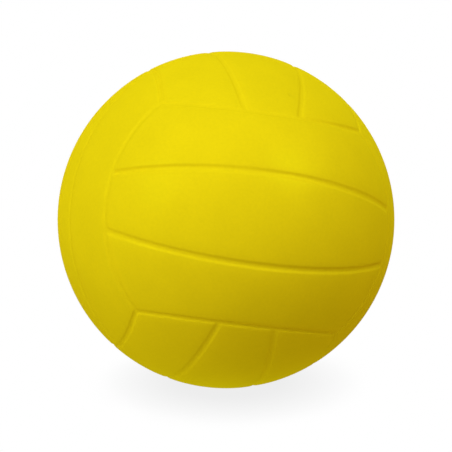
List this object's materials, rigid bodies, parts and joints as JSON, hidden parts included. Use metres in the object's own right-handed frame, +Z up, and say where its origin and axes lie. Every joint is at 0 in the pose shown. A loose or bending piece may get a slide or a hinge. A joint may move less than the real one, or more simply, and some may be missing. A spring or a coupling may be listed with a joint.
{
  "type": "foam volleyball",
  "caption": "Soft round foam ball with a smooth bonded skin and moulded strip panels between shallow grooves, for throwing, hitting and catching.",
  "frame": {"origin": "centre of the ball", "axes": "+Z up as the ball lies, -Y towards the viewer of the picture, +X to the viewer's right; the panel pattern is rolled a few degrees off these axes, as the ball lies in the picture"},
  "size_m": [0.21, 0.2098, 0.2098],
  "materials": {
    "foam": "open-cell polyurethane foam, dull",
    "skin_coat": "flexible polyurethane coat, fine grained satin, yellow"
  },
  "bodies": {
    "root": {"foam_core": "foam", "skin": "skin_coat"}
  },
  "joints": []
}
